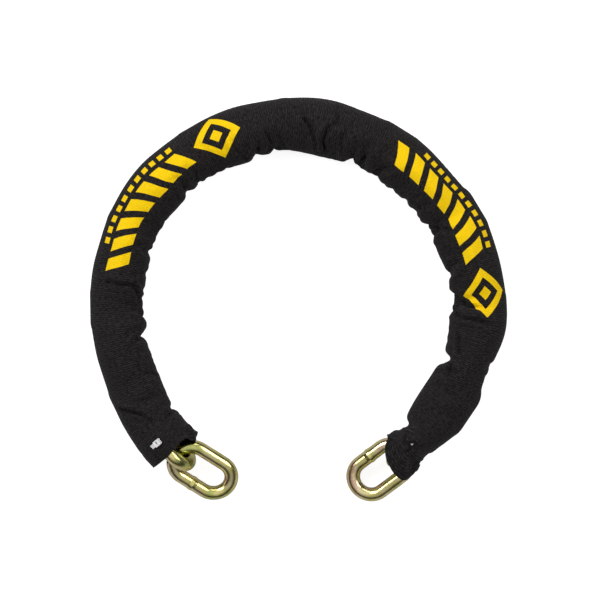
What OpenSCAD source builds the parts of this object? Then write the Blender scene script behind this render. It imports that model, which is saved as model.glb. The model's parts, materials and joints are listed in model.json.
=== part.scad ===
// Security chain in a woven sleeve, lying on a surface in an open ring.
// +Z is up, the surface is z = 0 and the origin is the middle of the outline seen from above.
// Links are counted from the free end on the left, over the top, to the free end on the right.
// Odd links lie flat and even links stand upright.

/* [Chain] */
// Diameter of the link wire
wire_d = 10; // [9:0.25:10.5]
// Inside length of a link
link_pitch = 35; // [33:0.5:38]
// Inside width of a link
link_inner_w = 15.5; // [15:0.5:17]
// Gap left between two links where they bear on each other
link_play = 0.5; // [0.4:0.05:0.7]
// Height of the weld bead over the wire
weld_h = 0.4; // [0.2:0.1:0.6]
// Length of the weld bead along the wire
weld_l = 5; // [4:0.5:6]

/* [Lay] */
// Heading of the first link, counter-clockwise from +X
first_heading = 141; // [120:1:170]
// Lean of the second link away from upright
second_lean = 20; // [0:1:20]
// Gap under the end links and under the chain inside its sleeve
rest_gap = 0.3; // [0.2:0.05:0.4]

/* [Sleeve] */
// Thickness of the woven wall
sleeve_wall = 0.8; // [0.6:0.1:1.2]
// Room around the links inside the sleeve
sleeve_room = 1; // [0.9:0.1:2]
// Gap at the seams between two lengths
sleeve_seam = 0.1; // [0.05:0.05:0.3]
// Gap between the left mouth and the bow of the end link
mouth_gap = 0.3; // [0.2:0.1:3]
// Sleeve past the middle of the last upright link, at the right mouth
right_mouth = 20; // [14:0.5:22]
// How much further out the sides of the sleeve are beside a flat link
sleeve_swell = 1; // [0:0.1:1.5]
// How far the top of the sleeve sags over a flat link
sleeve_sag = 3.5; // [0:0.5:4]
// Least gap between a tuck of the sleeve and the links
tuck_gap = 0.4; // [0.3:0.05:0.6]
// Half of the length of a tuck along the sleeve
tuck_half = 6; // [5:0.5:8]
// Half of the length of a waist along the sleeve
waist_half = 9; // [7:0.5:10]

/* [Ties] */
// Width of the tie strap
tie_w = 3; // [2.5:0.1:3.5]
// Thickness of the tie strap
tie_t = 1.2; // [1:0.1:1.5]
// Width of the square tie head
tie_head_w = 4.4; // [4:0.1:5]
// Height of the tie head
tie_head_h = 3.2; // [2.8:0.1:3.6]
// Gap between a tie and what it goes round or through
tie_gap = 0.3; // [0.2:0.05:0.5]
// Distance of the left tie from the middle of the second link
tie_left_at = 3; // [2.5:0.5:6]
// Distance of the right tie from the middle of the last upright link
tie_right_at = 3; // [2.5:0.5:6]

/* [Hidden] */
$fn = 64;
link_count = 21;
// Turn at each contact as the chain lies, in degrees to the right
turns = [10, 15, 12, 13, 14, 16, 17, 15, 14, 17, 15, 15, 14, 13, 17, 17, 17, 14, 12, 6];
// Tucks on the inner side of the ring, each a place counted in links and a depth
tucks = [
    [2.45, 2],
    [4.2, 3],
    [5.7, 1.5],
    [6.3, 3],
    [6.65, 2],
    [8.05, 2.5],
    [8.45, 2.5],
    [10, 2],
    [10.45, 3.5],
    [12.35, 3.5],
    [14.2, 1.5],
    [14.75, 2],
    [16.2, 1.5],
    [16.65, 3]
];
// Waists, where both sides have sunk in beside an upright link: place, outer depth and inner depth
waists = [
    [14.4, 2, 0],
    [18.1, 4, 5.5],
    [20, 4.5, 6.5]
];
steel = [0.71, 0.62, 0.30];
cloth = [0.13, 0.12, 0.13];
nylon = [0.95, 0.95, 0.93];

wire_r = wire_d / 2;
// Centre-line radius of a bow
bow_r = (link_inner_w + wire_d) / 2;
// Distance from the middle of a link to the wire centre of its bow
bow_at = (link_pitch + wire_d) / 2;
// Half of the straight legs
leg_half = bow_at - bow_r;
// Half of the outside width of a link
link_half_w = bow_r + wire_r;
// Distance between the wire centres of two links that bear on each other
bearing = wire_d + link_play;

sleeve_in = link_half_w + sleeve_room;
sleeve_out = sleeve_in + sleeve_wall;
// The sleeve lies on the surface, and the chain lies in the bottom of the sleeve
sleeve_z = sleeve_out;
chain_z = sleeve_wall + rest_gap + link_half_w;

function flat(k) = k % 2 == 1;
// From the middle of a link to the turning point at its contact, the upright link's bow
function reach(k) = flat(k) ? bow_at - bearing : bow_at;
arc_reach = reach(1);
// The left mouth stops short of the bow of the end link
left_mouth = arc_reach - wire_r - mouth_gap;
function heading(k) = k == 1 ? first_heading : heading(k - 1) - turns[k - 2];
function along(a) = [cos(a), sin(a), 0];
function across(a) = [-sin(a), cos(a), 0];
function step(k) = reach(k) * along(heading(k)) + reach(k + 1) * along(heading(k + 1));
// Middles of the links before the outline is centred
raw = [for (k = 1, p = [0, 0, 0]; k <= link_count; p = k < link_count ? p + step(k) : p, k = k + 1) p];

// Rotation matrices, for the outline and for the rest of the end links
function turn_x(a) = [[1, 0, 0], [0, cos(a), -sin(a)], [0, sin(a), cos(a)]];
function turn_y(a) = [[cos(a), 0, sin(a)], [0, 1, 0], [-sin(a), 0, cos(a)]];
function turn_z(a) = [[cos(a), -sin(a), 0], [sin(a), cos(a), 0], [0, 0, 1]];

// Share of the second link's lean that the end link doesn't follow
roll_share = 0.2;
// The end links hang from the bow of their neighbour and droop until they lie on the surface.
// An end has the neighbour's heading outwards, its lean, the yaw there and the roll of the end link.
left_end = [heading(2) + 180, second_lean, turns[0], -second_lean * roll_share, raw[1]];
right_end = [heading(link_count - 1), 0, -turns[link_count - 2], 0, raw[link_count - 2]];
function end_base(e) = turn_z(e[0]) * turn_x(e[1]);
function end_pivot(e) =
    e[4] + [0, 0, chain_z] + end_base(e) * ([bow_at, 0, 0] - turn_z(e[2]) * [bearing, 0, 0]);
function end_turn(e, droop) = end_base(e) * turn_z(e[2]) * turn_y(droop) * turn_x(e[3]);
function end_point(e, droop, q) = end_pivot(e) + end_turn(e, droop) * (q + [bow_at, 0, 0]);
// Wire centre-line of a link in its own frame
outline_step = 3;
bow_points = [for (a = [-90 : outline_step : 90]) [leg_half + bow_r * cos(a), bow_r * sin(a), 0]];
wire_points = concat(bow_points, [for (q = bow_points) [-q[0], q[1], 0]]);
function end_low(e, droop) = min([for (q = wire_points) end_point(e, droop, q)[2]]) - wire_r;
// Halves the interval until the end link lies at its rest gap over the surface
function droop_in(e, lo, hi, n) =
    n == 0 ? lo
    : end_low(e, (lo + hi) / 2) > rest_gap ? droop_in(e, (lo + hi) / 2, hi, n - 1)
    : droop_in(e, lo, (lo + hi) / 2, n - 1);
droop_most = 60;
droop_halvings = 24;
left_droop = droop_in(left_end, 0, droop_most, droop_halvings);
right_droop = droop_in(right_end, 0, droop_most, droop_halvings);

// A sleeve length runs from the middle of the upright link at its contact, straight and then round
// an arc that ends square to the middle of the flat link. The two mouths are straight.
half_pitch = bow_at + arc_reach;
sleeve_straight = bow_at - arc_reach;
function upright_of(k) = flat(k) ? k + 1 : k;
function out_heading(k) = flat(k) ? heading(k + 1) + 180 : heading(k);
function side(k) = flat(k) ? 1 : -1;
function is_mouth(k) = k == 1 || k == link_count - 1;
function arc_r(k) = arc_reach / tan(turns[k - 1] / 2);
function straight_of(k) = k == 1 ? left_mouth : k == link_count - 1 ? right_mouth : sleeve_straight;
function run_of(k) = straight_of(k) + (is_mouth(k) ? 0 : arc_r(k) * turns[k - 1] * PI / 180);
// Turn of the sleeve at a distance x from the upright link
function turn_at(k, x) = is_mouth(k) ? 0 : max(0, x - sleeve_straight) / arc_r(k) * 180 / PI;
function way_at(k, x) =
    raw[upright_of(k) - 1]
    + min(x, straight_of(k)) * along(out_heading(k))
    + (is_mouth(k) ? [0, 0, 0] : arc_way(k, turn_at(k, x)));
function arc_way(k, t) =
    arc_r(k) * sin(t) * along(out_heading(k)) + side(k) * arc_r(k) * (1 - cos(t)) * across(out_heading(k));

// Form of the sleeve: wide and low over flat links, with tucks and waists where the cloth is loose
function total(v) = v * [for (q = v) 1];
function bell(d, half) = exp(-pow(d / half, 2));
function dip(list, column, half, p) =
    total([for (q = list) q[column] * bell((p - q[0]) * half_pitch, half)]);
function place_of(k, x) = upright_of(k) - side(k) * x / half_pitch;
function flat_share(x) = (1 - cos(180 * x / half_pitch)) / 2;
// Half of the outside width of a link at a distance d from its middle
function link_half(d) =
    d < leg_half ? link_half_w
    : d < bow_at + wire_r ? sqrt(pow(link_half_w, 2) - pow(d - leg_half, 2))
    : 0;
function side_least(x) = max(link_half(half_pitch - x), wire_r) + tuck_gap + sleeve_wall;
function outer_half(k, x) = max(side_least(x), sleeve_out + sleeve_swell * flat_share(x)
    - dip(waists, 1, waist_half, place_of(k, x)));
function inner_half(k, x) = max(side_least(x), sleeve_out + sleeve_swell * flat_share(x)
    - dip(waists, 2, waist_half, place_of(k, x)) - dip(tucks, 1, tuck_half, place_of(k, x)));

// The sleeve as a tube of flat faces, which lie outside the round form
sleeve_sides = 16;
face_r = 1 / cos(180 / sleeve_sides);
// Longest step along the sleeve between two rows of faces
row_most = 6;
function rows_of(k) = ceil(run_of(k) / row_most);
// Half of a seam is left free at each end that meets another length
function seams_of(k) = (is_mouth(k) ? 1 : 2) * sleeve_seam / 2;
function row_x(k, i) = sleeve_seam / 2 + (run_of(k) - seams_of(k)) * i / rows_of(k);
function side_angle(j) = (j + 0.5) * 360 / sleeve_sides;
// A point of the sleeve at row i and side j, with the wall taken off by the given inset
function sleeve_point(k, i, j, inset) =
    let (x = row_x(k, i), f = side_angle(j), on_left = sin(f) > 0)
    let (half = on_left == flat(k) ? inner_half(k, x) : outer_half(k, x))
    let (height = sleeve_out - (cos(f) > 0 ? sleeve_sag * flat_share(x) : 0))
    way_at(k, x)
    + (half - inset) * face_r * sin(f) * across(out_heading(k) + side(k) * turn_at(k, x))
    + [0, 0, sleeve_z + (height - inset) * face_r * cos(f)];
function sleeve_skin(k, inset) =
    [for (i = [0 : rows_of(k)], j = [0 : sleeve_sides - 1]) sleeve_point(k, i, j, inset)];

// Outline seen from above
sleeve_edge = [for (k = [1 : link_count - 1]) each sleeve_skin(k, 0)];
ends = [[left_end, left_droop], [right_end, right_droop]];
wire_edge = [
    for (q = wire_points, x = [-wire_r, wire_r], y = [-wire_r, wire_r], e = ends)
        end_point(e[0], e[1], q) + [x, y, 0]
];
edge = concat(sleeve_edge, wire_edge);
edge_x = [for (q = edge) q[0]];
edge_y = [for (q = edge) q[1]];
middle = [(min(edge_x) + max(edge_x)) / 2, (min(edge_y) + max(edge_y)) / 2, 0];
function centre(k) = raw[k - 1] - middle;
// The second link leans, and the third follows it half way
function lean(k) = k == 2 ? -second_lean : k == 3 ? -second_lean / 2 : 0;

function two_digits(k) = str(k < 10 ? "0" : "", k);
function link_name(k) = str("link_", two_digits(k));
function sleeve_name(k) = str("sleeve_", two_digits(k));

// One bow of a link, half of a ring
module bow() {
    translate([leg_half, 0, 0])
        rotate([0, 0, -90])
            rotate_extrude(angle = 180)
                translate([bow_r, 0])
                    circle(r = wire_r);
}

// One straight leg of a link
module leg() {
    translate([-leg_half, 0, 0])
        rotate([0, 90, 0])
            cylinder(r = wire_r, h = 2 * leg_half);
}

// The upset ridge where the link is closed, running out into the wire on both sides
module weld_bead() {
    for (s = [0, 1])
        mirror([s, 0, 0])
            rotate([0, 90, 0])
                cylinder(r1 = wire_r + weld_h, r2 = wire_r - weld_h, h = weld_l);
}

// A whole link, flat in its own frame, with its weld on the leg at the given side
module oval_link(weld_side) {
    color(steel) {
        bow();
        mirror([1, 0, 0])
            bow();
        for (s = [-1, 1])
            translate([0, s * bow_r, 0])
                leg();
        translate([0, weld_side * bow_r, 0])
            weld_bead();
    }
}

// An end link, hung from its neighbour's bow and drooping to the surface
module end_link(e, droop) {
    translate(end_pivot(e) - middle)
        rotate([e[1], 0, e[0]])
            rotate([0, droop, e[2]])
                rotate([e[3], 0, 0])
                    translate([bow_at, 0, 0])
                        oval_link(-1);
}

module chain_link(k) {
    if (k == 1)
        end_link(left_end, left_droop);
    else if (k == link_count)
        end_link(right_end, right_droop);
    else
        translate(centre(k) + [0, 0, chain_z])
            rotate([lean(k) + (flat(k) ? 0 : 90), 0, heading(k)])
                oval_link(1);
}

// A length of sleeve: the outer skin, the inner skin and the two rims
module sleeve_tube(k) {
    n = rows_of(k);
    inside = (n + 1) * sleeve_sides;
    function at(i, j) = i * sleeve_sides + j % sleeve_sides;
    function two_faces(a, b, c, d) = [[a, b, c], [a, c, d]];
    outer_skin = [
        for (i = [0 : n - 1], j = [0 : sleeve_sides - 1])
            each two_faces(at(i, j), at(i, j + 1), at(i + 1, j + 1), at(i + 1, j))
    ];
    inner_skin = [for (f = outer_skin) [inside + f[0], inside + f[2], inside + f[1]]];
    rims = [
        for (j = [0 : sleeve_sides - 1])
            let (a = at(0, j), b = at(0, j + 1), c = at(n, j), d = at(n, j + 1))
                each concat(
                    two_faces(a, inside + a, inside + b, b),
                    two_faces(c, d, inside + d, inside + c)
                )
    ];
    translate(-middle)
        polyhedron(
            points = concat(sleeve_skin(k, 0), sleeve_skin(k, sleeve_wall)),
            faces = concat(outer_skin, inner_skin, rims)
        );
}

module sleeve_length(k) {
    color(cloth)
        difference() {
            sleeve_tube(k);
            if (k == 2)
                at_tie(2, tie_left_at)
                    tie_strap(tie_gap);
            if (k == link_count - 1)
                at_tie(k, tie_right_at)
                    tie_strap(tie_gap);
        }
}

// A tie goes round the upper leg of an upright link and out through the sleeve above it.
// Its frame has +X along the leg and +Z out through the sleeve.
module at_tie(k, x) {
    translate(centre(k) + [0, 0, chain_z])
        rotate([lean(k), 0, heading(k)])
            translate([x, 0, 0])
                children();
}

tie_low = bow_r - wire_r - tie_gap;
tie_high = sleeve_out + (sleeve_z - chain_z) + tie_gap;
tie_in = (tie_high - tie_low) / 2;
tie_mid = (tie_high + tie_low) / 2;

// The closed strap, grown by the given gap to cut its slits in the sleeve
module tie_strap(gap) {
    translate([-tie_w / 2 - gap, 0, tie_mid])
        rotate([90, 0, 90])
            linear_extrude(tie_w + 2 * gap)
                difference() {
                    circle(r = tie_in + tie_t + gap);
                    circle(r = tie_in - gap);
                }
}

// The head that locks the strap, with the slot that the strap goes through
module tie_head() {
    difference() {
        translate([-tie_head_w / 2, -tie_head_w, tie_high])
            cube([tie_head_w, tie_head_w, tie_head_h]);
        translate([-tie_w / 2, -tie_head_w / 2 - tie_t / 2, tie_high + tie_t])
            cube([tie_w, tie_t, tie_head_h]);
    }
}

module tie(k, x) {
    color(nylon)
        at_tie(k, x) {
            tie_strap(0);
            tie_head();
        }
}

module tie_left() {
    tie(2, tie_left_at);
}

module tie_right() {
    tie(link_count - 1, tie_right_at);
}

for (k = [1 : link_count])
    chain_link(k);
for (k = [1 : link_count - 1])
    sleeve_length(k);
tie_left();
tie_right();
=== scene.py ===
import json
import math

import bpy
import numpy as np
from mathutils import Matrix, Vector


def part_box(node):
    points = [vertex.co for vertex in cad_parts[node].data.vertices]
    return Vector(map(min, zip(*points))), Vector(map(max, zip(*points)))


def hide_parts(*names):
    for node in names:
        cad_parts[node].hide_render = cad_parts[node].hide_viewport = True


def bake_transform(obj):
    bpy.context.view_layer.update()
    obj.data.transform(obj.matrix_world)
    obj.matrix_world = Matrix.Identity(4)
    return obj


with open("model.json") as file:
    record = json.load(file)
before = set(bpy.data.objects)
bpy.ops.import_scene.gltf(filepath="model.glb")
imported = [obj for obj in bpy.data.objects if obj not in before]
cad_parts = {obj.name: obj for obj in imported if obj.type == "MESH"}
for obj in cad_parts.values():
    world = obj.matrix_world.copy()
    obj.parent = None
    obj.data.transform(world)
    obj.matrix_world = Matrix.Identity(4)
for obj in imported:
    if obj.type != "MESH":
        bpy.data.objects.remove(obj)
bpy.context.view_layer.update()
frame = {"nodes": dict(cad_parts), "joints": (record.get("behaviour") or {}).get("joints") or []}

MM = 0.001
# Least length to divide by
TINY = 1e-9
# The sleeve goes from the second link to the last link but one
FIRST, LAST = 2, 20

# Centre line of the sleeve: the middles of the links and the points where the chain bends.
# It is rounded over a length, and goes on straight past both ends.
LINE_ROUND = 9 * MM
LINE_STEP = 0.25 * MM
PAST_LEFT = 80 * MM
PAST_RIGHT = 100 * MM
bends = {
    int(j["name"].removeprefix("bend_")): np.array(j["pos_m"])[:2]
    for j in frame["joints"]
    if j["name"].startswith("bend_")
}


def node_middle(name):
    lo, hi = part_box(name)
    return np.array((lo + hi) / 2)


middles = {FIRST: node_middle("link_02")[:2]}
for k in range(FIRST + 1, LAST + 1):
    middles[k] = (bends[k - 1] + bends[k]) / 2


def unit(v):
    return v / np.linalg.norm(v, axis=-1, keepdims=True)


def smooth_line(points, sigma, step):
    """Even points along a polyline, rounded over a length of about sigma."""
    run = np.r_[0, np.cumsum(np.linalg.norm(np.diff(points, axis=0), axis=1))]
    s = np.arange(0, run[-1], step)
    line = np.c_[np.interp(s, run, points[:, 0]), np.interp(s, run, points[:, 1])]
    n = int(3 * sigma / step)
    g = np.exp(-0.5 * (np.arange(-n, n + 1) * step / sigma) ** 2)
    g /= g.sum()
    return np.c_[[np.convolve(line[:, i], g, "valid") for i in (0, 1)]].T


way = []
for k in range(FIRST, LAST + 1):
    way += [middles[k], bends[k]]
first_way = unit(bends[FIRST] - middles[FIRST])
last_way = unit(bends[LAST] - middles[LAST])
way = [middles[FIRST] - PAST_LEFT * first_way] + way + [middles[LAST] + PAST_RIGHT * last_way]
LINE = smooth_line(np.array(way), LINE_ROUND, LINE_STEP)
RUN = np.r_[0, np.cumsum(np.linalg.norm(np.diff(LINE, axis=0), axis=1))]


def nearest_run(p):
    return RUN[np.argmin(np.linalg.norm(LINE - p, axis=1))]


ZERO = nearest_run(middles[FIRST])
AT = {k: nearest_run(middles[k]) - ZERO for k in middles}
# One link's share of the centre line, for places past the ends
LINK = 34.5 * MM
PLACES = [(FIRST - 1, -LINK)] + list(AT.items()) + [(LAST + 1, AT[LAST] + LINK)]


def place(k):
    """Distance along the sleeve of a place counted in links, such as 5.5 between links 5 and 6."""
    return np.interp(k, *zip(*PLACES))


def line_at(s):
    """Centre-line points at distances s from the second link, with their directions."""
    s = np.asarray(s, float) + ZERO
    p = np.stack([np.interp(s, RUN, LINE[:, i]) for i in (0, 1)], -1)
    q = np.stack([np.interp(s + MM, RUN, LINE[:, i]) for i in (0, 1)], -1)
    return p, unit(q - p)


# Shape of the sleeve before it is draped. Places are counted in links, sizes are in millimetres.
# Height of its middle, then half of its height and of its width on the ring's inner and outer side.
MID_Z = 19.5
HALF_H = 19.3
HALF_W_IN = 18.6
HALF_W_OUT = 18.0
# Radius that turns an angle round the sleeve into a length of cloth
GIRTH_R = 19.3
# The sleeve is wider and lower over a flat link
SWELL = 0.8
SAG = 3.2
# Bulges and tucks of the ring's inner side: place, size outwards, half of the length along the sleeve
INNER = [
    (2.45, -2.2, 5), (3.15, 2.6, 7), (4.0, -1.4, 5), (4.3, -2.4, 5), (4.57, 3.2, 5), (5.0, -3.4, 6),
    (5.8, -1.4, 6), (6.3, -1.6, 5), (6.8, -3.8, 9), (8.05, -2.6, 5), (8.4, -2.0, 6), (8.95, -2.6, 7),
    (9.6, 2.6, 8), (9.97, -2.2, 5), (10.5, -3.2, 9), (11.45, 2.4, 8), (11.88, -1.2, 3), (12.05, 1.2, 3),
    (12.3, -2.0, 3), (12.53, -3.0, 5), (12.73, 2.2, 4), (12.98, -1.4, 4), (13.35, 3.8, 6),
    (14.5, 2.6, 6), (14.86, -3.6, 4), (15.35, 4.6, 11), (16.0, -1.2, 8), (16.75, -5.0, 5),
    (17.15, 3.2, 7), (17.9, -2.2, 8), (18.13, -4.0, 2), (18.6, 1.2, 6), (19.1, 3.4, 11),
    (20.0, -6.6, 12), (20.75, -2.0, 8),
]
# The same on the outer side
OUTER = [
    (2.0, 3.0, 11), (3.25, -2.6, 13), (4.1, 1.2, 6), (4.9, -2.3, 13), (5.75, 2.2, 10), (6.9, -1.2, 9),
    (7.8, 3.8, 13), (8.8, -1.6, 8), (9.75, 2.6, 12), (10.7, -1.3, 9), (10.85, -0.8, 2), (11.6, 3.2, 14),
    (11.86, -0.4, 2), (12.12, -0.7, 2), (12.7, -2.2, 7), (13.5, 1.0, 8), (14.6, -3.0, 16),
    (16.0, 1.2, 10), (16.6, -1.0, 5), (17.25, 3.4, 9), (17.95, -1.6, 5), (18.35, -4.6, 13),
    (19.2, -1.6, 10), (20.1, -4.2, 16), (20.45, -1.6, 6), (20.75, 0.6, 5),
]
# The two mouths: angle from the top in degrees, positive on the outer side, and reach past the link.
# The reach grows within a stretch of the sleeve at each end.
LEFT_STRETCH = 14
RIGHT_STRETCH = 20
LEFT_REACH = [
    (-180, 9), (-136, 11.5), (-118, 10), (-98, 10.2), (-88, 11.2), (-76, 15), (-66, 15.5), (-54, 10.4),
    (-40, 8), (-28, 7.5), (-10, 7.6), (20, 9.8), (90, 8.6), (180, 9),
]
RIGHT_REACH = [
    (-180, 14), (-130, 13.4), (-98, 13), (-72, 14.5), (-45, 15), (-35, 19.5), (-24, 23.5), (-10, 26.6),
    (5, 27.6), (15, 29.6), (30, 30.5), (52, 30), (66, 28), (76, 23), (84, 15.5), (92, 14), (180, 14),
]
# The cloth sinks at the right mouth, past the last upright link: how much, from where, how long, how curved
TONGUE_DROP = 6.0
TONGUE_FROM = 6
TONGUE_RUN = 24
TONGUE_CURVE = 1.5
# Cloth stands up round the ties: link, angle from the top in degrees and height.
# Then the ties' distance past the middle of their link, and the radius of what stands up.
TIES = [(FIRST, 20, 1.2), (LAST, -17, 3.7), (LAST, 15, 2.6)]
TIE_AT = 3.0
TIE_ROUND = 8.0
# Folds: points as place and distance from the middle line, then depth, half width and height of a lip.
# The lip is on the left of the way that the points go.
FOLDS = [
    ([(3.05, 17), (2.87, 8), (2.7, 2), (2.52, 0.5), (2.3, 1)], 2.8, 1.2, 1.2),
    ([(2.42, -18), (2.35, -12), (2.2, -6)], 1.6, 1.8, 0),
    ([(5.5, 10), (5.5, -1.5), (5.52, -12), (5.35, -16), (5.1, -18)], 3.0, 1.4, 1.1),
    ([(5.85, -19), (5.75, -10)], 1.5, 1.4, 0),
    ([(4.33, -18), (4.2, -12), (4.0, -4)], 1.4, 2.0, 0),
    ([(3.4, -19), (3.5, -13), (3.75, -6)], 1.5, 2.0, 0),
    ([(6.3, -17), (6.4, -10), (6.6, -3)], 1.5, 2.0, 0),
    ([(8.05, -18), (8.15, -10), (8.1, -2)], 1.6, 1.8, 0),
    ([(8.4, -18), (8.55, -9)], 1.6, 1.5, 0),
    ([(9.75, -19), (9.6, -10), (9.55, 4), (9.55, 12)], 2.0, 1.6, 0),
    ([(10.0, -18), (10.1, -9)], 1.6, 1.6, 0),
    ([(10.37, -17), (10.3, -9), (10.28, 2)], 1.8, 1.7, 0),
    ([(11.05, 5), (11.29, -3.5), (11.46, -11), (11.5, -18)], 3.0, 1.5, 1.0),
    ([(11.68, -16), (11.57, -9.5), (11.61, -2), (11.78, 2.5), (11.72, 12), (11.7, 18)], 3.0, 1.4, 1.4),
    ([(12.05, -16), (11.94, -6), (12.05, -0.5), (12.1, 15)], 1.8, 1.5, 0.5),
    ([(12.22, -18), (12.3, -10), (12.2, 0)], 1.8, 1.7, 0),
    ([(12.52, -18), (12.6, -11)], 1.6, 1.6, 0),
    ([(13.0, -19), (13.1, -13), (13.35, -9)], 3.0, 2.4, 0),
    ([(14.27, -19), (14.3, -9)], 1.4, 1.8, 0),
    ([(14.85, -19), (15.05, -11), (15.25, -3)], 2.0, 1.6, 0),
    ([(15.9, -19), (15.85, -13), (15.7, -9)], 1.6, 1.8, 0),
    ([(16.72, -17), (16.85, -12), (16.9, 0), (16.88, 9)], 2.8, 1.4, 0.6),
    ([(17.0, -17), (17.15, -12), (17.2, 1), (17.25, 13)], 3.0, 1.4, 1.2),
    ([(17.5, -13), (17.8, -12), (18.0, -11), (18.12, -13)], 2.0, 1.3, 0),
    ([(18.12, -14), (18.3, -12), (18.55, -11)], 2.2, 1.4, 0),
    ([(19.98, -14), (20.1, -10), (20.2, -6.5), (20.21, -3.5), (20.12, -0.5), (20.1, 3), (19.95, 9)],
     1.6, 1.3, 4.2),
    ([(20.12, 1.5), (20.28, 1), (20.45, -1)], 1.8, 1.2, 0),
]
LIP_REACH = 10.0
# Half of the width that the folds' points are read on, and how near to its edge they may come
FOLD_R = 20
FOLD_EDGE = 0.98
# A fold deepens within this length, and fades over this share of its length
FOLD_IN = 3
FOLD_OUT = 0.45
# The swelling beside a fold: share of its depth, then distance and half width in half widths of the fold
SHOULDER = 0.35
SHOULDER_AT = 2.4
SHOULDER_WIDE = 1.4

ROWS, COLS = 340, 64
start = -9 * MM
end = AT[LAST] + 20 * MM
along = np.linspace(start, end, ROWS)
# Columns run from the seam underneath, up the inner side, over the top and down the outer side.
phi = np.linspace(-math.pi, math.pi, COLS + 1)[:-1] + math.pi / COLS


def half_width(plain, bumps, s, over):
    """Half width of the sleeve on one side, in millimetres."""
    wide = plain + SWELL * over
    for k, size, half in bumps:
        wide = wide + size * np.exp(-(((s - place(k)) / (half * MM)) ** 2))
    return wide


def fold_girth(w):
    """Distance round the sleeve of a point seen at a distance from the middle line."""
    return GIRTH_R * math.asin(max(-FOLD_EDGE, min(FOLD_EDGE, w / FOLD_R)))


def fold_height(s, f):
    """How far the folds lift each point of the sleeve, in millimetres."""
    u, v = s / MM, f * GIRTH_R
    lift = np.zeros_like(u)
    for points, depth, half, lip in FOLDS:
        q = np.array([(place(k) / MM, fold_girth(w)) for k, w in points])
        step = np.linalg.norm(np.diff(q, axis=0), axis=1)
        run = np.r_[0, np.cumsum(step)]
        near = np.full(u.shape, np.inf)
        at, side = np.zeros(u.shape), np.zeros(u.shape)
        for i in range(len(q) - 1):
            d = (q[i + 1] - q[i]) / step[i]
            ru, rv = u - q[i, 0], v - q[i, 1]
            t = np.clip(ru * d[0] + rv * d[1], 0, step[i])
            far = np.hypot(ru - t * d[0], rv - t * d[1])
            closer = far < near
            at = np.where(closer, run[i] + t, at)
            side = np.where(closer, d[0] * rv - d[1] * ru, side)
            near = np.where(closer, far, near)
        fade = np.clip(np.minimum(at / FOLD_IN, (run[-1] - at) / (FOLD_OUT * run[-1])), 0, 1)
        valley = np.exp(-((near / half) ** 2))
        shoulder = SHOULDER * np.exp(-(((near - SHOULDER_AT * half) / (SHOULDER_WIDE * half)) ** 2))
        raised = np.where(side > 0, 1 - valley, 0) * np.exp(-((near / LIP_REACH) ** 2))
        lift += fade * (depth * (shoulder - valley) + lip * raised)
    return lift


def base_grid():
    """The sleeve before it is draped: its points, and their distances along the centre line."""
    f = np.repeat(phi[None, :], ROWS, 0)
    left = -np.interp(np.degrees(phi), *zip(*LEFT_REACH)) * MM
    right = AT[LAST] + np.interp(np.degrees(phi), *zip(*RIGHT_REACH)) * MM
    row = along[:, None]
    s = row + (left - start) * np.clip(1 - (row - start) / (LEFT_STRETCH * MM), 0, 1) ** 2
    s = s + (right - end) * np.clip(1 - (end - row) / (RIGHT_STRETCH * MM), 0, 1) ** 2
    count = np.interp(s, *zip(*[(v, k) for k, v in PLACES]))
    over = (1 - np.cos(math.pi * count)) / 2
    inner = half_width(HALF_W_IN, INNER, s, over)
    outer = half_width(HALF_W_OUT, OUTER, s, over)
    wide = np.where(f > 0, outer, inner)
    top = HALF_H - SAG * over * (s < AT[LAST])
    past = np.clip((s - AT[LAST] - TONGUE_FROM * MM) / (TONGUE_RUN * MM), 0, 1)
    top = top - TONGUE_DROP * past**TONGUE_CURVE
    for k, angle, height in TIES:
        off = np.hypot((s - AT[k]) / MM - TIE_AT, (f - math.radians(angle)) * GIRTH_R)
        top = top + height * np.exp(-((off / TIE_ROUND) ** 2))
    x = wide * np.sin(f)
    z = MID_Z + np.where(np.cos(f) > 0, top, HALF_H) * np.cos(f)
    p, d = line_at(s)
    n = np.stack([-d[..., 1], d[..., 0]], -1)
    xy = p + n * (x * MM)[..., None]
    return np.concatenate([xy, (z * MM)[..., None]], -1), s


grid, grid_s = base_grid()


# The wire's radius, and how far from a link's middle its rows of the sleeve are
WIRE_R = 5 * MM
LINK_NEAR = 32 * MM


def link_frame(node):
    """A link as an oval wire along its own axes, to drape the sleeve over."""
    co = np.array([v.co for v in frame["nodes"][node].data.vertices], float)
    c = (co.min(0) + co.max(0)) / 2
    axes = np.linalg.eigh(np.cov((co - c).T))[1][:, ::-1].T
    reach = np.abs((co - c) @ axes.T).max(0)
    bow = reach[1] - WIRE_R
    return {"c": c, "axes": axes, "bow": bow, "leg": reach[0] - WIRE_R - bow}


def links_near(at):
    """Each link that the sleeve goes round, with the rows near it."""
    found = []
    for k in range(FIRST, LAST + 2):
        mid = AT[k] if k in AT else AT[LAST] + LINK
        near = np.where(np.abs(at - mid) < LINK_NEAR)[0]
        found.append((link_frame(f"link_{k:02d}"), slice(near[0], near[-1] + 1)))
    return found


def push_out(x, links, skin):
    """Moves the points of x that lie in a link, or closer to it than skin."""
    for f, rows in links:
        q = (x[rows] - f["c"]) @ f["axes"].T
        run = np.maximum(np.abs(q[..., 0]) - f["leg"], 0) * np.sign(q[..., 0])
        far = np.maximum(np.hypot(run, q[..., 1]), TINY)
        off = far - f["bow"]
        d = np.maximum(np.hypot(off, q[..., 2]), TINY)
        deep = np.maximum(WIRE_R + skin - d, 0)
        way = np.stack([off / d * run / far, off / d * q[..., 1] / far, q[..., 2] / d], -1)
        x[rows] += (deep[..., None] * way) @ f["axes"]


def new_mesh(name, verts, faces):
    me = bpy.data.meshes.new(name)
    me.from_pydata(verts.tolist(), [], faces.tolist())
    me.update()
    ob = bpy.data.objects.new(name, me)
    bpy.context.scene.collection.objects.link(ob)
    return ob


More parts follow.
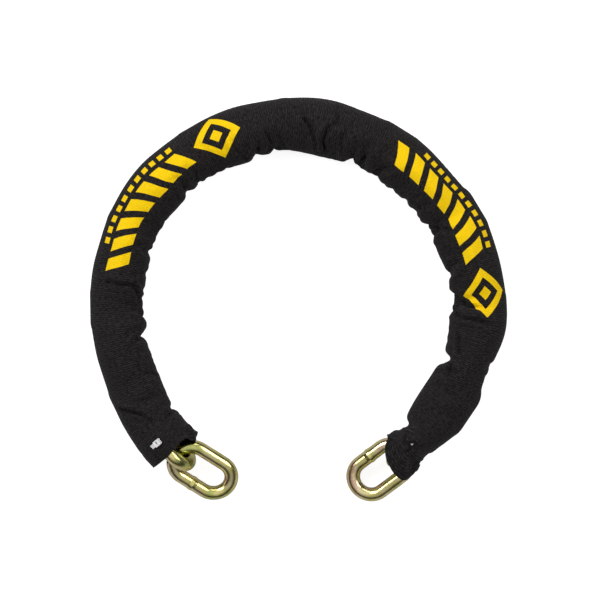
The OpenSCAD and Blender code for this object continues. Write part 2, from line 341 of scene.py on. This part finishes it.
# Draping: steps, and the share of them in which the inner side of the ring gets its extra length
STEPS = 120
FEED = 0.4
EXTRA = 0.03
# The extra length starts where the sine of the angle from the top falls below this
LOOSE_BELOW = 0.4
# Push outwards and downwards at each step, in millimetres, and how much of the last move goes on
PRESSURE = 0.004
GRAVITY = 0.002
DAMP = 0.9
# How firmly lengths are kept: threads, slanting pairs, pairs of threads against folding, and the round form
THREAD = 0.9
SHEAR = 0.25
BEND = 0.2
ROUND = 0.3
# Least distance to a link's wire and to the table, half of the length held at a tie, and longest move
SKIN = 0.6
TABLE = 0.4
HELD = 2.5
CAP = 3


def drape(g):
    """Cloth relaxed over the chain. The sleeve was woven straight, so its inner side gathers."""
    x, last = g.copy(), g.copy()
    fixed = np.zeros(ROWS, bool)
    for k in (FIRST, LAST):
        fixed |= np.abs(along - AT[k] - TIE_AT * MM) < HELD * MM
    start_plan = np.linalg.norm(np.diff(g, axis=0), axis=-1)
    plan = start_plan * (1 + EXTRA * np.clip(LOOSE_BELOW - np.sin(phi), 0, 1))
    around, chord = (np.linalg.norm(np.roll(g, -n, 1) - g, axis=-1) for n in (1, 2))
    links = links_near(along)

    def pull(i, j, rest, stiff, push_only=False):
        """Moves the points i and j towards their rest length."""
        d = x[j] - x[i]
        length = np.linalg.norm(d, axis=-1)
        off = (length - rest) / np.maximum(length, TINY)
        if push_only:
            off = np.minimum(off, 0)
        move = (0.5 * stiff * off)[..., None] * d
        x[i] += move
        x[j] -= move

    every, every_row = np.arange(COLS), np.arange(ROWS)

    def along_pairs(n, rest, stiff, push_only=False):
        for p in range(2 * n):
            i = np.arange(p, ROWS - n, 2 * n)
            pull(np.ix_(i, every), np.ix_(i + n, every), rest[i], stiff, push_only)

    def around_pairs(n, rest, stiff):
        for p in range(2 * n):
            i = every[p :: 2 * n]
            pull(np.ix_(every_row, i), np.ix_(every_row, (i + n) % COLS), rest[:, i], stiff)

    def shear_pairs(rest, stiff):
        for side in (1, -1):
            for p in (0, 1):
                i = np.arange(p, ROWS - 1, 2)
                pull(np.ix_(i, every), np.ix_(i + 1, (every + side) % COLS), rest[i], stiff)

    for step in range(STEPS):
        t = min(1.0, step / (FEED * STEPS))
        rest = (1 - t) * start_plan + t * plan
        wrapped = np.concatenate([x[:, -1:], x, x[:, :1]], 1)
        out = unit(np.cross(np.gradient(x, axis=0), wrapped[:, 2:] - wrapped[:, :-2]))
        if out[ROWS // 2, COLS // 2, 2] < 0:
            out = -out
        push = (PRESSURE * MM) * out
        push[..., 2] -= GRAVITY * MM
        moved = x + DAMP * (x - last) + push
        last, x = x.copy(), moved
        along_pairs(1, rest, THREAD)
        around_pairs(1, around, THREAD)
        shear_pairs(np.hypot(rest, around[:-1]), SHEAR)
        along_pairs(2, rest[:-1] + rest[1:], BEND, True)
        around_pairs(2, chord, ROUND)
        push_out(x, links, SKIN * MM)
        x[..., 2] = np.maximum(x[..., 2], TABLE * MM)
        x[fixed] = g[fixed]
    move = x - g
    far = np.linalg.norm(move, axis=-1, keepdims=True)
    cap = CAP * MM
    return g + move * np.where(far > cap, cap / np.maximum(far, TINY), 1)


grid = drape(grid)


def finer(g, axis, wrap):
    """A grid with cubic steps between its points along one axis."""
    g = np.moveaxis(g, axis, 0)
    if wrap:
        p = np.concatenate([g[-1:], g, g[:2]])
    else:
        p = np.concatenate([2 * g[:1] - g[1:2], g, 2 * g[-1:] - g[-2:-1]])
    mid = (-p[:-3] + 9 * p[1:-2] + 9 * p[2:-1] - p[3:]) / 16
    n = len(g) if wrap else len(g) - 1
    out = np.empty((len(g) + n,) + g.shape[1:])
    out[0::2] = g
    out[1::2] = mid[:n]
    return np.moveaxis(out, 0, axis)


fine = finer(finer(grid, 0, False), 1, True)
fine_along = finer(along[:, None], 0, False)[:, 0]
fine_s = finer(finer(grid_s, 0, False), 1, True)
fine_phi = finer(np.unwrap(phi)[:, None], 0, False)[:, 0]
fine_phi = np.r_[fine_phi, phi[-1] + math.pi / COLS]
# The seam underneath is a doubled column, so that the weave has no jump across it
fine = np.concatenate([fine, fine[:, :1]], 1)
fine_s = np.concatenate([fine_s, fine_s[:, :1]], 1)
fine_phi = np.r_[fine_phi, fine_phi[0] + 2 * math.pi]


def outward_normals(g):
    """Normals of a grid whose first and last columns are the same."""
    du = np.gradient(g, axis=0)
    wrapped = np.concatenate([g[:, -2:-1], g, g[:, 1:2]], 1)
    dv = (wrapped[:, 2:] - wrapped[:, :-2]) / 2
    n = unit(np.cross(dv, du))
    return n if (n[len(g) // 2, :, 2] * np.cos(fine_phi)).sum() > 0 else -n


lift = fold_height(fine_s, np.repeat(fine_phi[None, :], len(fine), 0))
fine = fine + outward_normals(fine) * (lift * MM)[..., None]
push_out(fine, links_near(fine_along), SKIN * MM)
# Least height of the folded cloth above the table
FOLD_TABLE = 0.3
fine[..., 2] = np.maximum(fine[..., 2], FOLD_TABLE * MM)
normals = outward_normals(fine)
# A hem turned in at both mouths
HEM_ROWS = 9
HEM_T = 0.9 * MM
inside = fine - normals * HEM_T
sheet = np.concatenate([inside[:HEM_ROWS][::-1], fine, inside[-HEM_ROWS:][::-1]])
sheet_n = np.concatenate([-normals[:HEM_ROWS][::-1], normals, -normals[-HEM_ROWS:][::-1]])
sheet_s = np.concatenate([fine_along[:HEM_ROWS][::-1], fine_along, fine_along[-HEM_ROWS:][::-1]])
sheet_a = fine_phi * GIRTH_R * MM


# Materials
class Tree:
    """A material's nodes, with short ways to add maths."""

    def __init__(self, name):
        self.mat = bpy.data.materials.new(name)
        self.mat.use_nodes = True
        self.t = self.mat.node_tree
        self.bsdf = self.t.nodes["Principled BSDF"]

    def add(self, kind, **values):
        n = self.t.nodes.new(kind)
        for k, v in values.items():
            setattr(n, k, v)
        return n

    def put(self, socket, value):
        if isinstance(value, bpy.types.NodeSocket):
            self.t.links.new(value, socket)
        else:
            socket.default_value = value

    def math(self, op, a, b=0.0, c=0.0):
        n = self.add("ShaderNodeMath", operation=op)
        for i, v in enumerate((a, b, c)):
            self.put(n.inputs[i], v)
        return n.outputs[0]

    def noise(self, scale, vector=None, detail=3.0, rough=0.55):
        n = self.add("ShaderNodeTexNoise")
        n.inputs["Scale"].default_value = scale
        n.inputs["Detail"].default_value = detail
        n.inputs["Roughness"].default_value = rough
        if vector is not None:
            self.put(n.inputs["Vector"], vector)
        return n.outputs["Fac"]

    def step(self, x, low, high):
        n = self.add("ShaderNodeMapRange", interpolation_type="SMOOTHSTEP")
        for i, v in enumerate((x, low, high, 0.0, 1.0)):
            self.put(n.inputs[i], v)
        return n.outputs[0]

    def mix(self, f, a, b):
        n = self.add("ShaderNodeMix", data_type="RGBA")
        self.put(n.inputs["Factor"], f)
        self.put(n.inputs["A"], a)
        self.put(n.inputs["B"], b)
        return n.outputs["Result"]

    def band(self, x, low, high, soft):
        up = self.step(x, low - soft, low + soft)
        down = self.step(x, high + soft, high - soft)
        return self.math("MULTIPLY", up, down)

    def bump(self, height, distance, strength=1.0, normal=None):
        n = self.add("ShaderNodeBump")
        n.inputs["Strength"].default_value = strength
        n.inputs["Distance"].default_value = distance
        self.put(n.inputs["Height"], height)
        if normal is not None:
            self.put(n.inputs["Normal"], normal)
        return n.outputs[0]


def srgb(r, g, b):
    """A shader colour from the 0 to 255 of a screen colour."""

    def linear(c):
        return c / 12.92 if c <= 0.04045 else ((c + 0.055) / 1.055) ** 2.4

    return (linear(r / 255), linear(g / 255), linear(b / 255), 1.0)


# The weave's pitches, and the print. Lengths are in millimetres, along the sleeve from the start of a print
# and round the sleeve from its top. Inked shares are of a pitch.
RIB_PITCH = 1.45
YARN_PITCH = 1.1
PRINTS = (place(5.85) / MM, place(13.15) / MM)
SLANT = 0.5
BAR_PITCH = 14.0
BAR_INK = (0.02, 0.64)
BAR_ROUND = (-6.0, 10.0)
BAR_ALONG = (0.0, 97.9)
BLOCK_PITCH = 7.0
BLOCK_INK = (0.02, 0.6)
BLOCK_ROUND = (13.5, 18.5)
BLOCK_ALONG = (14.0, 91.0)
DIAMOND_ALONG = 118.0
DIAMOND_ROUND = 4.0
DIAMOND_RING = (11.0, 17.5)
DIAMOND_CORE = (4.6, 5.1)
# Softness of the print's edges, and of the bars' and blocks' ends as a share of their pitch
EDGE = 0.25
END_EDGE = 0.2
BAR_EDGE = 0.015
BLOCK_EDGE = 0.03


def cloth_material():
    t = Tree("woven_nylon")
    uv = t.add("ShaderNodeUVMap", uv_map="weave")
    split = t.add("ShaderNodeSeparateXYZ")
    t.put(split.inputs[0], uv.outputs[0])
    a = t.math("MULTIPLY", split.outputs["X"], 1 / MM)
    s = t.math("MULTIPLY", split.outputs["Y"], 1 / MM)
    flat = t.add("ShaderNodeCombineXYZ")
    t.put(flat.inputs[0], a)
    t.put(flat.inputs[1], s)
    mm = flat.outputs[0]
    # Ribs across the tube, and the yarns that cross them
    drift = t.math("MULTIPLY", t.noise(0.08, mm, 2.0), 3.0)
    rib = t.math("SINE", t.math("MULTIPLY", t.math("ADD", s, drift), 2 * math.pi / RIB_PITCH))
    rib = t.math("MULTIPLY_ADD", rib, 0.5, 0.5)
    row = t.math("FLOOR", t.math("DIVIDE", t.math("ADD", s, drift), RIB_PITCH))
    shift = t.math("MULTIPLY", row, math.pi)
    yarn = t.math("SINE", t.math("MULTIPLY_ADD", a, 2 * math.pi / YARN_PITCH, shift))
    yarn = t.math("MULTIPLY_ADD", yarn, 0.5, 0.5)
    fuzz = t.noise(2.2, mm, 4.0, 0.7)
    weave = t.math("MULTIPLY_ADD", yarn, 0.35, t.math("MULTIPLY_ADD", fuzz, 0.35, rib))
    # Printed pattern: slanted bars, a row of small blocks and a diamond, twice along the sleeve
    ink = None
    for begin in PRINTS:
        q = t.math("SUBTRACT", s, begin)
        slanted = t.math("MULTIPLY_ADD", a, SLANT, q)
        bars = t.band(t.math("FRACT", t.math("DIVIDE", slanted, BAR_PITCH)), *BAR_INK, BAR_EDGE)
        bars = t.math("MULTIPLY", bars, t.band(a, *BAR_ROUND, EDGE))
        bars = t.math("MULTIPLY", bars, t.band(slanted, *BAR_ALONG, END_EDGE))
        blocks = t.band(t.math("FRACT", t.math("DIVIDE", q, BLOCK_PITCH)), *BLOCK_INK, BLOCK_EDGE)
        blocks = t.math("MULTIPLY", blocks, t.band(a, *BLOCK_ROUND, EDGE))
        blocks = t.math("MULTIPLY", blocks, t.band(q, *BLOCK_ALONG, END_EDGE))
        d1 = t.math("ABSOLUTE", t.math("SUBTRACT", q, DIAMOND_ALONG))
        d2 = t.math("ABSOLUTE", t.math("SUBTRACT", a, DIAMOND_ROUND))
        d = t.math("ADD", d1, d2)
        diamond = t.band(d, *DIAMOND_RING, EDGE)
        core = t.math("SUBTRACT", 1.0, t.step(d, *DIAMOND_CORE))
        one = t.math("MAXIMUM", t.math("MAXIMUM", bars, blocks), t.math("MAXIMUM", diamond, core))
        ink = one if ink is None else t.math("MAXIMUM", ink, one)
    # The print is a little thinner between the ribs
    worn = t.step(t.math("MULTIPLY_ADD", rib, 0.25, t.noise(0.9, mm, 3.0)), 0.28, 0.42)
    ink = t.math("MULTIPLY", ink, t.math("MULTIPLY_ADD", worn, 0.12, 0.88))
    # Black yarn with a little lint, and paler threads in streaks whose colour follows the crests of the
    # ribs and yarns: real paler threads and painted highlight on the crests
    tone = t.noise(0.12, mm, 3.0)
    thread = t.add("ShaderNodeCombineXYZ")
    t.put(thread.inputs[0], t.math("MULTIPLY", a, 0.35))
    t.put(thread.inputs[1], s)
    streak = t.noise(1.0, thread.outputs[0], 2.0, 0.6)
    black = t.mix(tone, srgb(11, 10, 10), srgb(20, 18, 18))
    # Painted highlight: the thread colour is paler on the crests of the ribs and yarns
    pale_threads_and_crest_highlight = t.math("MULTIPLY", weave, t.step(streak, 0.3, 0.7))
    black = t.mix(t.math("MULTIPLY", pale_threads_and_crest_highlight, 0.52), black, srgb(64, 60, 59))
    lint = t.step(t.noise(1.3, mm, 2.0, 0.8), 0.72, 0.8)
    black = t.mix(t.math("MULTIPLY", lint, 0.25), black, srgb(95, 93, 92))
    yellow = t.mix(t.noise(0.3, mm, 3.0), srgb(255, 214, 8), srgb(246, 203, 2))
    # Painted shade: the yellow print is darker in the troughs between the ribs
    yellow = t.mix(t.math("MULTIPLY", t.math("SUBTRACT", 1.0, rib), 0.18), yellow, srgb(205, 160, 0))
    t.put(t.bsdf.inputs["Base Color"], t.mix(ink, black, yellow))
    t.put(t.bsdf.inputs["Roughness"], t.math("MULTIPLY_ADD", ink, -0.2, 0.82))
    t.put(t.bsdf.inputs["Specular IOR Level"], 0.1)
    t.put(t.bsdf.inputs["Sheen Weight"], 0.05)
    t.put(t.bsdf.inputs["Sheen Roughness"], 0.45)
    depth = t.math("MULTIPLY", weave, t.math("MULTIPLY_ADD", ink, -0.55, 1.0))
    fine_bump = t.bump(depth, 0.28 * MM, 0.9)
    soft = t.bump(t.noise(0.16, mm, 2.0), 1.2 * MM, 0.35, fine_bump)
    t.put(t.bsdf.inputs["Normal"], soft)
    return t.mat


# Tints of the yellow passivation, as a place in the film's cycle and a colour
PLATING = [
    (0.0, (218, 206, 152)),
    (0.2, (208, 196, 124)),
    (0.4, (172, 180, 108)),
    (0.58, (206, 194, 130)),
    (0.76, (212, 172, 152)),
    (0.9, (224, 208, 162)),
]


def plated_material():
    t = Tree("yellow_zinc")
    geo = t.add("ShaderNodeNewGeometry")
    pos = geo.outputs["Position"]
    up = t.add("ShaderNodeSeparateXYZ")
    t.put(up.inputs[0], geo.outputs["Normal"])
    cloud = t.math("MULTIPLY", t.noise(55.0, pos, 3.0), 2.2)
    film = t.math("MULTIPLY_ADD", up.outputs["X"], 0.25, cloud)
    ramp = t.add("ShaderNodeValToRGB")
    t.put(ramp.inputs[0], t.math("FRACT", film))
    e = ramp.color_ramp.elements
    e[0].position, e[0].color = 0.0, srgb(*PLATING[0][1])
    e[1].position, e[1].color = 1.0, srgb(*PLATING[0][1])
    for at, rgb in PLATING[1:]:
        e.new(at).color = srgb(*rgb)
    t.put(t.bsdf.inputs["Base Color"], ramp.outputs[0])
    t.bsdf.inputs["Metallic"].default_value = 1.0
    scuff = t.noise(900.0, pos, 4.0, 0.7)
    t.put(t.bsdf.inputs["Roughness"], t.math("MULTIPLY_ADD", t.noise(150.0, pos, 4.0), 0.16, 0.14))
    wavy = t.bump(t.noise(95.0, pos, 3.0), 0.5 * MM, 0.35)
    t.put(t.bsdf.inputs["Normal"], t.bump(scuff, 0.05 * MM, 0.25, wavy))
    return t.mat


def tie_material():
    t = Tree("white_nylon")
    geo = t.add("ShaderNodeNewGeometry")
    pos = geo.outputs["Position"]
    t.put(t.bsdf.inputs["Base Color"], t.mix(t.noise(300.0, pos), srgb(238, 238, 234), srgb(250, 250, 248)))
    t.put(t.bsdf.inputs["Roughness"], t.math("MULTIPLY_ADD", t.noise(600.0, pos), 0.2, 0.3))
    t.bsdf.inputs["Subsurface Weight"].default_value = 0.2
    t.bsdf.inputs["Subsurface Scale"].default_value = 1 * MM
    wave = t.add("ShaderNodeTexWave")
    t.put(wave.inputs["Vector"], pos)
    wave.inputs["Scale"].default_value = 350.0
    t.put(t.bsdf.inputs["Normal"], t.bump(wave.outputs["Fac"], 0.1 * MM, 0.3))
    return t.mat


cloth = cloth_material()
plated = plated_material()
white = tie_material()

for name, ob in frame["nodes"].items():
    mat = plated if name.startswith("link") else white if name.startswith("tie") else None
    if mat:
        ob.data.materials.clear()
        ob.data.materials.append(mat)
        for p in ob.data.polygons:
            p.use_smooth = True

# The sleeve in lengths, one for each bend, that meet at the middles of the links
n_cols = sheet.shape[1]
cuts = [0]
for k in range(FIRST + 1, LAST):
    cuts.append(int(np.argmin(np.abs(fine_along - AT[k]))) + HEM_ROWS)
cuts.append(len(sheet) - 1)
for i, k in enumerate(range(FIRST, LAST)):
    rows = np.arange(cuts[i], cuts[i + 1] + 1)
    part = sheet[rows].reshape(-1, 3)
    r, c = np.meshgrid(np.arange(len(rows) - 1), np.arange(n_cols - 1), indexing="ij")
    corner = r * n_cols + c
    quad = np.stack([corner, corner + n_cols, corner + n_cols + 1, corner + 1], -1)
    ob = new_mesh(f"sleeve_piece_{k:02d}", part, quad.reshape(-1, 4))
    me = ob.data
    uv = me.uv_layers.new(name="weave")
    vi = np.zeros(len(me.loops), int)
    me.loops.foreach_get("vertex_index", vi)
    coords = np.stack([np.tile(sheet_a, len(rows)), np.repeat(sheet_s[rows], n_cols)], -1)
    uv.data.foreach_set("uv", coords[vi].astype(np.float32).ravel())
    me.polygons.foreach_set("use_smooth", np.ones(len(me.polygons), bool))
    me.normals_split_custom_set_from_vertices(sheet_n[rows].reshape(-1, 3).tolist())
    me.materials.append(cloth)
    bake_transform(ob)
    nodes = [f"sleeve_{k:02d}"]
    if k == FIRST:
        nodes.append("sleeve_01")
    if k == LAST - 1:
        nodes.append("sleeve_20")
    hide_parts(*nodes)

# White table, soft light from above, and the camera straight over it
TABLE_SIZE = 6
TABLE_SEEN, TABLE_MIRRORED = 0.85, 0.1
bpy.ops.mesh.primitive_plane_add(size=TABLE_SIZE)
floor = bpy.context.object
floor.name = "table"
t = Tree("table_white")
t.bsdf.inputs["Base Color"].default_value = (0.5, 0.5, 0.5, 1)
t.bsdf.inputs["Roughness"].default_value = 0.9
t.bsdf.inputs["Specular IOR Level"].default_value = 0.1
ray = t.add("ShaderNodeLightPath")
t.put(t.bsdf.inputs["Emission Color"], (1, 1, 1, 1))
mirrored = t.math("MAXIMUM", ray.outputs["Is Glossy Ray"], ray.outputs["Is Transmission Ray"])
seen = t.math("MULTIPLY", ray.outputs["Is Camera Ray"], TABLE_SEEN)
glow = t.math("MULTIPLY_ADD", mirrored, TABLE_MIRRORED, seen)
t.put(t.bsdf.inputs["Emission Strength"], glow)
floor.data.materials.append(t.mat)

# Even light on the object. Metal mirrors a bright ceiling, a dark band below it and a paler horizon:
# height in the sky, from the horizon up, and brightness.
EVEN_LIGHT = 0.28
MIRRORED = [(0.08, 0.4), (0.16, 0.06), (0.56, 0.05), (0.66, 0.45), (0.85, 0.6), (0.93, 0.95)]
HORIZON, CEILING = 0.6, 0.95
world = bpy.data.worlds.new("studio")
world.use_nodes = True
sky = world.node_tree
back = sky.nodes["Background"]
back.inputs[0].default_value = (1, 1, 1, 1)
ray = sky.nodes.new("ShaderNodeLightPath")
look = sky.nodes.new("ShaderNodeTexCoord")
split = sky.nodes.new("ShaderNodeSeparateXYZ")
sky.links.new(look.outputs["Generated"], split.inputs[0])
ramp = sky.nodes.new("ShaderNodeValToRGB")
sky.links.new(split.outputs["Z"], ramp.inputs[0])
e = ramp.color_ramp.elements
e[0].position, e[0].color = 0.0, (HORIZON, HORIZON, HORIZON, 1)
e[1].position, e[1].color = 1.0, (CEILING, CEILING, CEILING, 1)
for at, v in MIRRORED:
    e.new(at).color = (v, v, v, 1)
pick = sky.nodes.new("ShaderNodeMix")
sky.links.new(ray.outputs["Is Glossy Ray"], pick.inputs["Factor"])
pick.inputs["A"].default_value = EVEN_LIGHT
sky.links.new(ramp.outputs[0], pick.inputs["B"])
show = sky.nodes.new("ShaderNodeMath")
show.operation = "MAXIMUM"
sky.links.new(ray.outputs["Is Camera Ray"], show.inputs[0])
sky.links.new(pick.outputs["Result"], show.inputs[1])
sky.links.new(show.outputs[0], back.inputs[1])
bpy.context.scene.world = world


def softbox(name, where, size, power):
    """A rectangular lamp that faces the middle of the table."""
    light = bpy.data.lights.new(name, "AREA")
    light.shape = "RECTANGLE"
    light.size, light.size_y = size
    light.energy = power
    ob = bpy.data.objects.new(name, light)
    ob.location = where
    ob.rotation_euler = (Vector((0, 0, 0)) - Vector(where)).to_track_quat("-Z", "Y").to_euler()
    bpy.context.scene.collection.objects.link(ob)


softbox("left", (-1.1, 0.6, 1.2), (1.2, 0.8), 17)
softbox("right", (1.2, 0.3, 1.2), (1.0, 0.7), 10)
softbox("back", (0.1, 1.3, 1.1), (1.4, 0.5), 5.5)

CAMERA_AT = (1.4 * MM, -0.65 * MM, 2.02)
cam = bpy.data.cameras.new("camera")
cam.sensor_width = 36
cam.lens = 168
ob = bpy.data.objects.new("camera", cam)
ob.location = CAMERA_AT
ob.rotation_euler = (0, 0, 0)
bpy.context.scene.collection.objects.link(ob)
bpy.context.scene.camera = ob
bpy.context.scene.view_settings.view_transform = "Standard"
